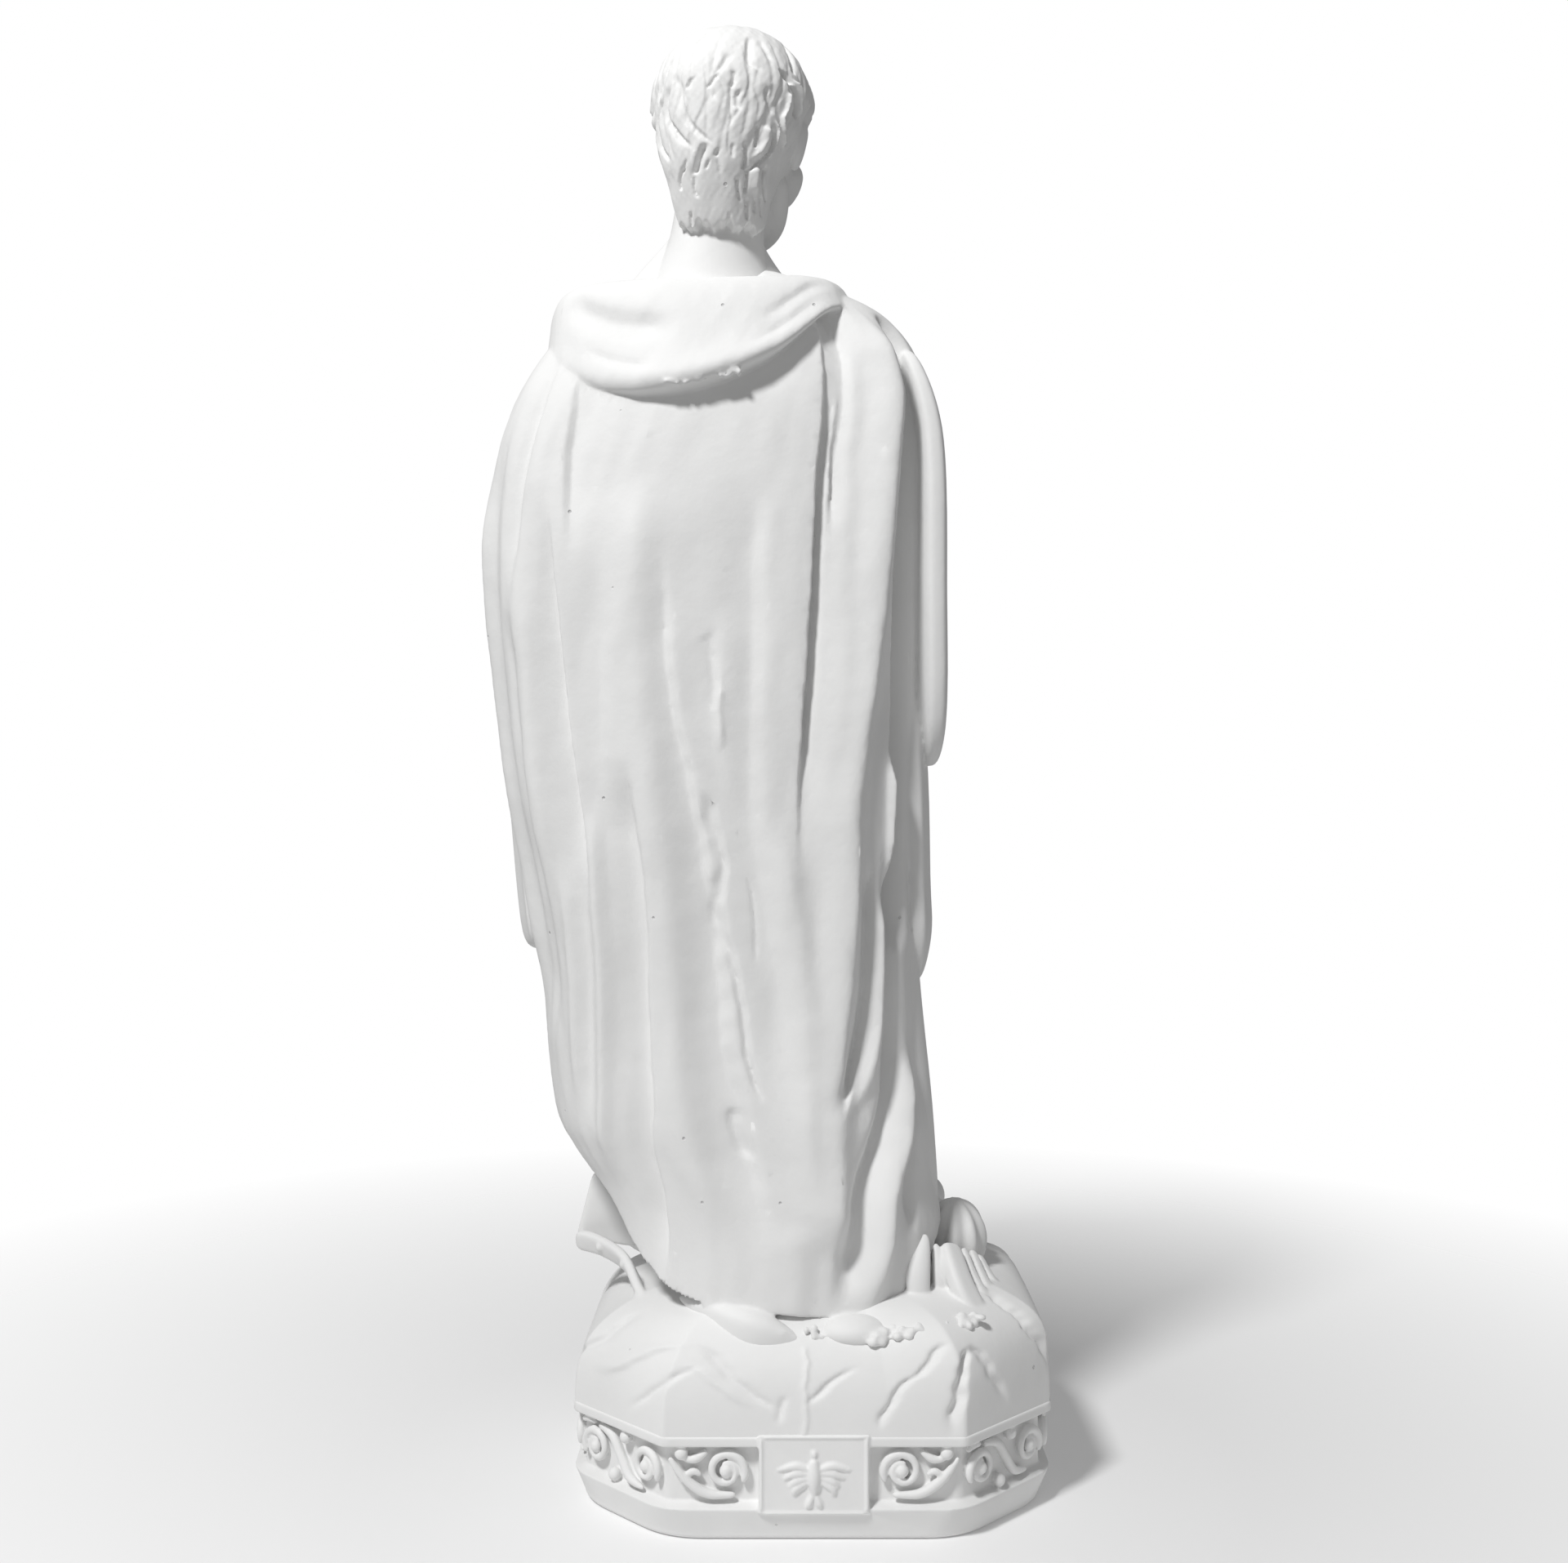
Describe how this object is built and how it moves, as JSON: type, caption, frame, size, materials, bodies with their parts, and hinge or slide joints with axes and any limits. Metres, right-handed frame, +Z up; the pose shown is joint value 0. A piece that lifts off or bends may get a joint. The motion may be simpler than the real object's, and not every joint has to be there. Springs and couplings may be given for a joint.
{
  "type": "saint expeditus statue",
  "caption": "Cast plaster figure of a young Roman soldier saint in a long cloak, standing on a rocky mound and a chamfered plinth with a scrolled frieze.",
  "frame": {"origin": "middle of the plinth's flat underside", "axes": "+Z up through the head; the figure faces -Y and its left hand is on the +X side"},
  "size_m": [0.1548, 0.1108, 0.3985],
  "materials": {
    "plaster": "unpainted cast plaster, matt, off-white, with pinholes and mould seams"
  },
  "bodies": {
    "root": {"statue": "plaster"}
  },
  "joints": []
}
